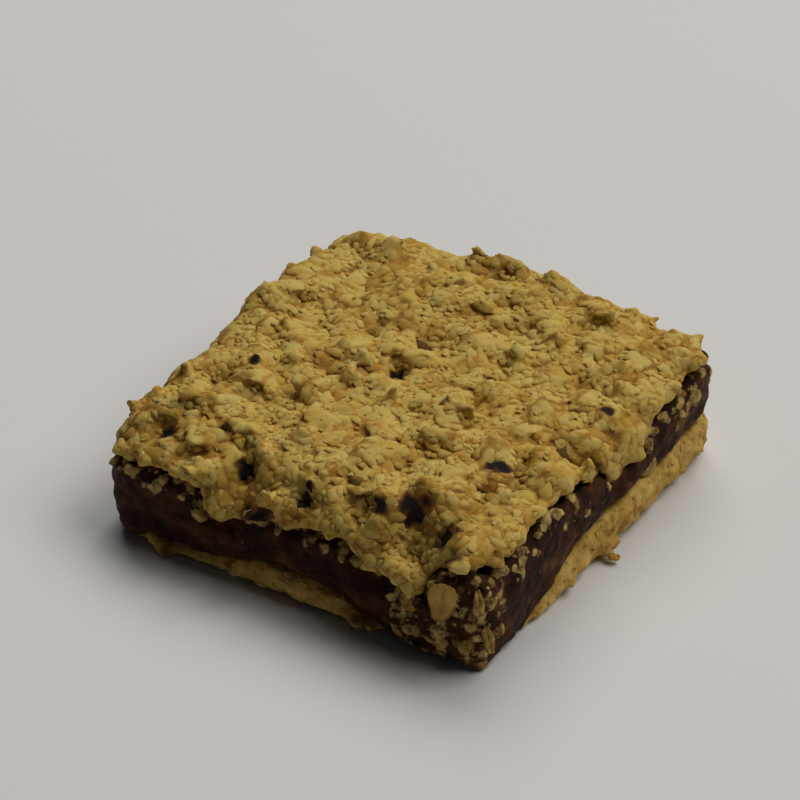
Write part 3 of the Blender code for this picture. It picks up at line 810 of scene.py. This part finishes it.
def nearest_values(obj, spots, names):
    """What a mesh's points nearest to the spots hold, a column for each name."""
    points = points_of(obj.data)
    tree = tree_of(points)
    nearest = [tree.find(spot)[1] for spot in spots]
    columns = {}
    for name in names:
        layer = obj.data.attributes[name]
        if layer.data_type == "FLOAT_VECTOR":
            column = np.empty(points.size, np.float32)
            layer.data.foreach_get("vector", column)
            column = column.reshape(-1, 3)
        else:
            column = np.empty(len(points), np.float32)
            layer.data.foreach_get("value", column)
        columns[name] = column[nearest]
    return columns


def nearest_pieces(points, centres, radii):
    """The fused piece that each point belongs to, and from 0 within it to 1 at its border with the next."""
    tree = tree_of(centres)
    owners, borders = np.empty(len(points), int), np.empty(len(points))
    for i, point in enumerate(points):
        found = [(distance / radii[k], k) for _, k, distance in tree.find_n(point, 4)]
        (near, owners[i]), (other, _) = sorted(found)[:2]
        borders[i] = math.exp(-(((other - near) / 0.3) ** 2))
    return owners, borders


def chosen_spots(mesh, kind, draw, keep):
    """Spots, normals and radii for one kind of piece."""
    spots, normals = surface_samples(mesh, kind["tries"], draw, keep)
    low, high = kind["radius"]
    coarse = 0.5 * noise_at(spots, 9 * MM, 2.0)
    radii = low + (high - low) * np.clip(draw.random(len(spots)) ** 1.5 + coarse, 0, 1)
    kept = spread_out(spots, kind["spacing"] * radii, kind["most"])
    return spots[kept], normals[kept], radii[kept]


def crumbs_on(mesh, kind, draw, keep):
    """Placed copies of craggy shapes on a surface, with browning and painted shade at their feet. Their
    centres and radii too.
    """
    spots, normals, radii = chosen_spots(mesh, kind, draw, keep)
    out = draw.uniform(-0.25, 0.25, len(spots)) - kind["sunk"] - 0.35 * (1 - np.clip(normals[:, 2], 0, 1))
    centres = spots + normals * (out * radii)[:, None]
    sizes = radii[:, None] * draw.uniform(0.7, 1.15, (len(spots), 3))
    if "tilt" in kind:
        turns = lying(normals, draw.uniform(*kind["tilt"], len(spots)), draw)
    else:
        turns = random_turns(len(spots), draw)
    shapes = crag_shapes(*kind["shapes"], kind["flat"])
    points, faces, owners, _ = placed(shapes, centres, turns, sizes)
    above = np.einsum("ij,ij->i", points - spots[owners], normals[owners]) / radii[owners]
    # browning and painted shade, strongest at each crumb's foot
    return (points, faces, owners, np.clip(1 - above / 0.5, 0, 1)), centres, radii


def surface_of(mesh):
    return BVHTree.FromPolygons(points_of(mesh).tolist(), triangles_of(mesh).tolist())


def pressed_down(points, surface, top):
    """How far each point is over the surface, in tops. Those over one top are pressed back."""
    above = np.empty(len(points))
    for i, point in enumerate(points):
        spot, normal, _, away = surface.find_nearest(point)
        across = Vector(point) - spot
        above[i] = math.copysign(away / top, across.dot(normal))
        if above[i] > 1:
            points[i] = spot + across * (1 - PRESSED * (1 - 1 / above[i]))
    return above


def packed_on(mesh, kind, draw):
    """Placed copies of chips, close together with their tops at one level. Their centres and radii too."""
    spots, normals, radii = chosen_spots(mesh, kind, draw, on_clumps)
    sizes = radii[:, None] * draw.uniform(0.75, 1.25, (len(spots), 3))
    rise = kind["top"] * draw.uniform(0.7, 1.25, len(spots)) - 0.8 * kind["flat"] * sizes[:, 2]
    centres = spots + normals * rise[:, None]
    turns = lying(normals, draw.uniform(*kind["tilt"], len(spots)), draw)
    shapes = crag_shapes(*kind["shapes"], kind["flat"])
    points, faces, owners, _ = placed(shapes, centres, turns, sizes)
    above = pressed_down(points, surface_of(mesh), kind["top"])
    # browning and painted shade, strongest where a chip dips to what it lies on
    return (points, faces, owners, np.clip(1 - above, 0, 1)), centres, radii


def softened_form(name, node, material, rounds, inwards):
    """A layer's packed form, softened, and drawn in to make room for what is fused on later."""
    form = remeshed(name, node.data.copy(), FORM_VOXEL, material)
    points = smoothed(points_of(form.data), edges_of(form.data), rounds, 0.4)
    set_points(form.data, points)
    set_points(form.data, points - inwards * normals_of(form.data))
    return form


def fused(name, form, parts, voxel, material, rounds=1):
    """The form and its fused parts in one skin, a little softened where they join."""
    mesh = joined([(points_of(form.data), triangles_of(form.data))] + parts)
    bpy.data.objects.remove(form)
    obj = remeshed(name, mesh, voxel, material)
    set_points(obj.data, smoothed(points_of(obj.data), edges_of(obj.data), rounds, 0.7))
    return obj


def crumble_shown(centres, normals):
    """The crumble's top and sides, without its underside."""
    return (normals[:, 2] > -0.3) * (centres[:, 2] > 7.5 * MM)


def on_clumps(centres, normals):
    """Out of the holes, and seldom in the gaps between clumps."""
    out_of_holes = crumble_shown(centres, normals) * (in_holes(centres) < 0.6)
    return out_of_holes * np.where(clumps_at(centres)[1] < 0.4, 1, GAP_SHARE)


def level_top(centres, normals):
    """The level part of the crumble's top, where oat flakes lie."""
    inside = np.abs(centres[:, :2] / MM - SHIFT[:2]).max(axis=1) < FLAKE_REACH
    return (normals[:, 2] > 0.8) * inside * (in_holes(centres) < 0.1)


def flakes_on(mesh, draw):
    """Placed copies of oat flakes that lie in a mesh's top. Their centres and radii too."""
    spots, normals = surface_samples(calmed(mesh, 30), 20 * FLAKES_ON_TOP, draw, level_top)
    kept = spread_out(spots, np.full(len(spots), FLAKE_SPACING), FLAKES_ON_TOP)
    spots, normals = spots[kept], normals[kept]
    turns = lying(normals, draw.uniform(*FLAKE_TILT, len(spots)), draw)
    centres = spots + normals * draw.uniform(*FLAKE_OUT, len(spots))[:, None]
    lengths = draw.uniform(*FLAKE_LENGTH, len(spots))
    sizes = lengths[:, None] * (1, 1, FLAKE_THICKER)
    shapes = flake_shapes(FLAKE_SHAPES, FLAKE_SEED, FLAKE_CREASE)
    return placed(shapes, centres, turns, sizes), centres, 0.45 * lengths


def make_crumble(node, material, draw):
    """The crumble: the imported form, grained all over, with crumbs, chips and flakes fused on."""
    form = softened_form("crumble_form", node, material, CRUMBLE_SMOOTHING, CRUMBLE_DRAWN_IN)
    points, normals = points_of(form.data), normals_of(form.data)
    domes, gaps = clumps_at(points)
    relief = CLUMP_HEIGHT * domes - GAP_DEPTH * gaps + CHUNK_HEIGHT * chunks_at(points, CHUNK)
    relief = relief - HOLE_DEPTH * in_holes(points)
    set_points(form.data, points + normals * (relief * MM)[:, None])
    chips = packed_on(form.data, FUSED_CHIPS, draw)
    crumbs = packed_on(form.data, FUSED_CRUMBS, draw)
    flakes = flakes_on(form.data, draw)
    parts = [chips[0][:2], crumbs[0][:2], (flakes[0][0], halved(flakes[0][1]))]
    surface = surface_of(form.data)
    obj = fused("crumble_core", form, parts, CRUMBLE_VOXEL, material)
    mesh = obj.data
    points, normals, edges = points_of(mesh), normals_of(mesh), edges_of(mesh)
    centres, radii = (np.concatenate([kind[k] for kind in (chips, crumbs, flakes)]) for k in (1, 2))
    owners, borders = nearest_pieces(points, centres, radii)
    grain = 0.05 * noise_at(points, 1.0 * MM, 4.0) + 0.07 * chunks_at(points, 1.5 * MM, 5.0) - 0.13 * borders
    set_points(mesh, points + normals * (grain * MM)[:, None])
    points, normals = points_of(mesh), normals_of(mesh)
    # height: how far the surface stands out, which the material reads as painted light on crests and painted
    # shade in hollows
    set_values(mesh, "height", stands_out(points, edges, normals, 60, 3.0 * MM))
    set_values(mesh, "calm", normals_of(calmed(mesh, 8)))
    # browning and painted shade where the skin lies low and at the borders between fused pieces
    above = np.array([surface.find_nearest(point)[3] for point in points]) / FUSED_TOP
    set_values(mesh, "browning_and_shade", np.clip(0.8 - 0.8 * above + 0.6 * borders, 0, 1.2))
    # the gaps between clumps, which the material reads as stain and painted shade
    set_values(mesh, "gap_stain_and_shade", clumps_at(points)[1])
    date = in_holes(points) + 0.35 * noise_at(points, 1.4 * MM, 6.0)
    set_values(mesh, "date", np.clip((date - 0.5) / 0.4, 0, 1))
    tints = draw.random(len(centres))
    tints[len(centres) - len(flakes[1]) :] = draw.uniform(0.6, 1, len(flakes[1]))
    set_values(mesh, "tint", tints[owners])
    return obj


def packed_crumbs(name, core, kind, draw, material):
    """Chips or crumbs that lie close together all over the crumble."""
    copies, centres, radii = packed_on(calmed(core.data, 12), kind, draw)
    values = nearest_values(core, centres, ("height", "date", "gap_stain_and_shade", "calm"))
    values["tint"] = draw.random(len(centres))
    values["gap_stain_and_shade"] *= 0.7
    calm, owners = values.pop("calm"), copies[2]
    piece = scattered(name, copies, material, values)
    outward = (copies[0] - centres[owners]) / radii[owners][:, None]
    set_values(piece.data, "calm", calm[owners] + CHIP_SHAPE * outward)
    return piece


def loose_crumbs(name, core, kind, draw, material, keep, names):
    """Small crumbs that keep their own edges and take the named values from the core."""
    copies, centres, _ = crumbs_on(core.data, kind, draw, keep)
    values = nearest_values(core, centres, ("tint", *names))
    values["tint"] = 0.6 * values["tint"] + 0.4 * draw.random(len(centres))
    copies[0][:, 2] = np.maximum(copies[0][:, 2], 0)
    return scattered(name, copies, material, values, smooth=False)


def side_flakes(name, draw, material):
    """Oats pressed on edge into the filling near the front corner."""
    rows = np.array(FILLING_FLAKES)
    centres = (rows[:, :3] + SHIFT) * MM
    turns = []
    for turn, lean in np.radians(rows[:, 5:7]):
        outward = np.array((math.sin(lean), -math.cos(lean), 0))
        along = np.cross((0, 0, 1), outward)
        length = math.cos(turn) * along + math.sin(turn) * np.array((0, 0, 1))
        turns.append(np.stack([length, np.cross(outward, length), outward], 1))
    turns = np.array(turns)
    centres += SIDE_FLAKE_OUT * turns[:, :, 2]
    shares = np.stack([np.ones(len(rows)), rows[:, 4], np.full(len(rows), FLAKE_THICKER)], 1)
    sizes = rows[:, 3:4] * MM * shares
    shapes = flake_shapes(len(rows), SIDE_FLAKE_SEED, SIDE_FLAKE_CREASE)
    copies = placed(shapes, centres, turns, sizes)
    return scattered(name, copies, material, {"tint": draw.random(len(rows)), "date": rows[:, 7]})


def near_corner(centres, normals):
    """The filling's sides near the front corner, where oats are pressed into it."""
    x, y, z = (centres / MM - SHIFT).T
    on_front = np.clip((x - 16) / 7, 0, 1) * (normals[:, 1] < -0.4)
    on_right = 0.6 * np.clip((-27 - y) / 3, 0, 1) * (normals[:, 0] > 0.4) * (z > 9)
    low = 0.6 + 1.4 * np.exp(-(((z - 3.5) / 2.5) ** 2))
    high_up = 0.12 * (normals[:, 1] < -0.4) * (z > 11) + 0.05 * (normals[:, 0] > 0.4) * (z > 12)
    return np.maximum(np.maximum(on_front, on_right) * low, high_up) * (z > 1.6)


def corner_oats(name, core, draw, material):
    """Crumbs and bits of oat in the filling near the front corner, more or less coated with date."""
    copies, centres, _ = crumbs_on(core.data, CORNER_CRUMBS, draw, near_corner)
    count = len(centres)
    surface = surface_of(core.data)
    values = {"height": draw.uniform(0.3, 0.7, count), "gap_stain_and_shade": np.zeros(count), "tint": draw.random(count)}
    values["date"] = draw.uniform(0.1, 0.6, count)
    values["calm"] = np.array([surface.find_nearest(centre)[1] for centre in centres])
    return scattered(name, copies, material, values, smooth=False)


def make_filling(node, material, draw):
    """The date layer: sticky relief dragged by the knife, and bits of oat fused in near the front corner."""
    form = softened_form("date_form", node, material, FILLING_SMOOTHING, FILLING_DRAWN_IN)
    oats, centres, radii = crumbs_on(form.data, CORNER_OATS, draw, near_corner)
    surface = surface_of(form.data)
    obj = fused("date_paste_core", form, [oats[:2]], FILLING_VOXEL, material)
    mesh = obj.data
    points, normals = points_of(mesh), normals_of(mesh)
    above = np.array([surface.find_nearest(point)[3] for point in points]) / MM
    owners, borders = nearest_pieces(points, centres, radii)
    showing = np.clip((above - 0.06) / 0.15, 0, 1)
    tints = np.clip(draw.random(len(centres)) ** 0.6 + 0.4 * (centres[:, 2] < 6 * MM), 0, 1)
    tints *= np.where(centres[:, 2] < 2.8 * MM, 0.5, 1) * np.where(centres[:, 0] > 33 * MM, 0.42, 1)
    set_values(mesh, "oat", showing * tints[owners] * (1 - 0.6 * borders))
    dragged = points * (0.4, 0.4, 1.0)
    relief = 0.45 * noise_at(dragged, 2.2 * MM) + 0.22 * noise_at(points, 1.3 * MM, 3.0)
    relief = relief * (1 - 0.6 * showing) - 0.25 * showing * borders
    set_points(mesh, points + normals * (relief * MM)[:, None])
    return obj


def base_side(centres, normals):
    """The base's sides away from the front corner, where date covers it."""
    x, y, z = (centres / MM - SHIFT).T
    return (abs(normals[:, 2]) < 0.85) * (z > 0.6) * ~((x > 22) & (y < -22))


def orange_at(points):
    """From 0 away from the base's orange spots to 1 in the middle of one."""
    most = np.zeros(len(points))
    for x, y, z, reach in ORANGE_SPOTS:
        away = np.linalg.norm(points / MM - SHIFT - (x, y, z), axis=1)
        most = np.maximum(most, np.exp(-((away / reach) ** 2)))
    return np.clip(1.4 * most + 0.3 * noise_at(points, 1.1 * MM, 8.0) - 0.2, 0, 0.85)


def make_base(node, material, draw):
    """The pressed base, with oat pieces lying flat in its sides."""
    form = softened_form("base_form", node, material, BASE_SMOOTHING, BASE_DRAWN_IN)
    points, normals = points_of(form.data), normals_of(form.data)
    set_points(form.data, points + normals * (0.3 * MM * chunks_at(points, CHUNK, 3.0))[:, None])
    spots, normals, radii = chosen_spots(form.data, BASE_CHIPS, draw, base_side)
    upright = np.tile((0.0, 0.0, 1.0), (len(spots), 1))
    turns = lying(upright, draw.uniform(*BASE_CHIPS["tilt"], len(spots)), draw)
    centres = spots - 0.45 * radii[:, None] * normals
    sizes = radii[:, None] * draw.uniform(0.7, 1.1, (len(spots), 3))
    chips = placed(crag_shapes(*BASE_CHIPS["shapes"], BASE_CHIPS["flat"]), centres, turns, sizes)
    obj = fused("oat_base_core", form, [chips[:2]], BASE_VOXEL, material, rounds=4)
    mesh = obj.data
    points, normals, edges = points_of(mesh), normals_of(mesh), edges_of(mesh)
    relief = 0.15 * noise_at(points, 1.0 * MM, 4.0) + 0.12 * chunks_at(points, 1.4 * MM, 7.0)
    points += normals * (relief * MM)[:, None]
    points[:, 2] = np.maximum(points[:, 2], 0)
    set_points(mesh, points)
    normals = normals_of(mesh)
    # height: how far the base stands out, which the material reads as painted light and painted shade
    set_values(mesh, "height", stands_out(points, edges, normals, 40, 2.4 * MM))
    set_values(mesh, "orange", orange_at(points))
    owners, _ = nearest_pieces(points, centres, radii)
    set_values(mesh, "tint", draw.random(len(centres))[owners])
    return obj


# Camera, floor and light


def add_camera():
    azimuth, elevation = math.radians(CAMERA_AZIMUTH), math.radians(CAMERA_ELEVATION)
    flat = math.cos(elevation)
    back = Vector((math.sin(azimuth) * flat, -math.cos(azimuth) * flat, math.sin(elevation)))
    right = Vector((math.cos(azimuth), math.sin(azimuth), 0))
    up = back.cross(right)
    middle = Vector(SHIFT * MM)
    place = middle + back * CAMERA_DISTANCE
    look = middle + right * FRAME_RIGHT + up * FRAME_UP
    data = bpy.data.cameras.new("camera")
    data.lens, data.sensor_width, data.clip_end = LENS, 36.0, 20.0
    camera = bpy.data.objects.new("camera", data)
    camera.location = place
    camera.rotation_euler = (place - look).to_track_quat("Z", "Y").to_euler()
    bpy.context.scene.collection.objects.link(camera)
    bpy.context.scene.camera = camera


def add_floor():
    half = FLOOR_SIZE / 2
    corners = np.array([(-half, -half, 0), (half, -half, 0), (half, half, 0), (-half, half, 0)])
    make = Nodes("pale_floor")
    floor = add_object("floor", mesh_of("floor", corners, np.array([[0, 1, 2, 3]])), make.material)
    make.shader.inputs["Base Color"].default_value = (*FLOOR_COLOUR, 1)
    make.shader.inputs["Roughness"].default_value = 0.9


def add_lights():
    world = bpy.data.worlds.new("sky")
    world.use_nodes = True
    background = world.node_tree.nodes["Background"]
    background.inputs["Color"].default_value = (*SKY, 1)
    background.inputs["Strength"].default_value = SKY_STRENGTH
    bpy.context.scene.world = world
    for name, light in LIGHTS.items():
        data = bpy.data.lights.new(name, "AREA")
        data.shape, data.size = "DISK", LIGHT_SIZE
        data.energy, data.color = light["power"], light["colour"]
        lamp = bpy.data.objects.new(name, data)
        towards = Vector(light["from"]).normalized()
        lamp.location = towards * LIGHT_DISTANCE
        lamp.rotation_euler = towards.to_track_quat("Z", "Y").to_euler()
        bpy.context.scene.collection.objects.link(lamp)


def main():
    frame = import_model()
    nodes = frame["nodes"]
    draw = np.random.default_rng(DRAW_SEED)
    noise.seed_set(NOISE_SEED)
    bpy.context.scene.view_settings.view_transform = "Standard"

    crumble, flakes = crumble_material(), flake_material()
    paste, pressed = filling_material(), base_material()

    core = make_crumble(nodes["crumble_topping"], crumble, draw)
    names = ("height", "date", "gap_stain_and_shade", "calm")
    crumble_pieces = [
        core,
        packed_crumbs("chips", core, LOOSE_CHIPS, draw, crumble),
        packed_crumbs("crumbs_medium", core, MEDIUM_CRUMBS, draw, crumble),
        loose_crumbs("crumbs_fine", core, FINE_CRUMBS, draw, crumble, crumble_shown, names),
    ]
    filling = make_filling(nodes["date_filling"], paste, draw)
    filling_pieces = [
        filling,
        corner_oats("crumbs_corner", filling, draw, crumble),
        side_flakes("flakes_side", draw, flakes),
    ]
    base = make_base(nodes["oat_base"], pressed, draw)
    base_pieces = [
        base,
        loose_crumbs("crumbs_base", base, BASE_CRUMBS, draw, pressed, base_side, ("height",)),
    ]

    for pieces, node in (
        (crumble_pieces, "crumble_topping"),
        (filling_pieces, "date_filling"),
        (base_pieces, "oat_base"),
    ):
        for piece in pieces:
            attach(piece, "root")
        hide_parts(node)

    add_camera()
    add_floor()
    add_lights()


main()
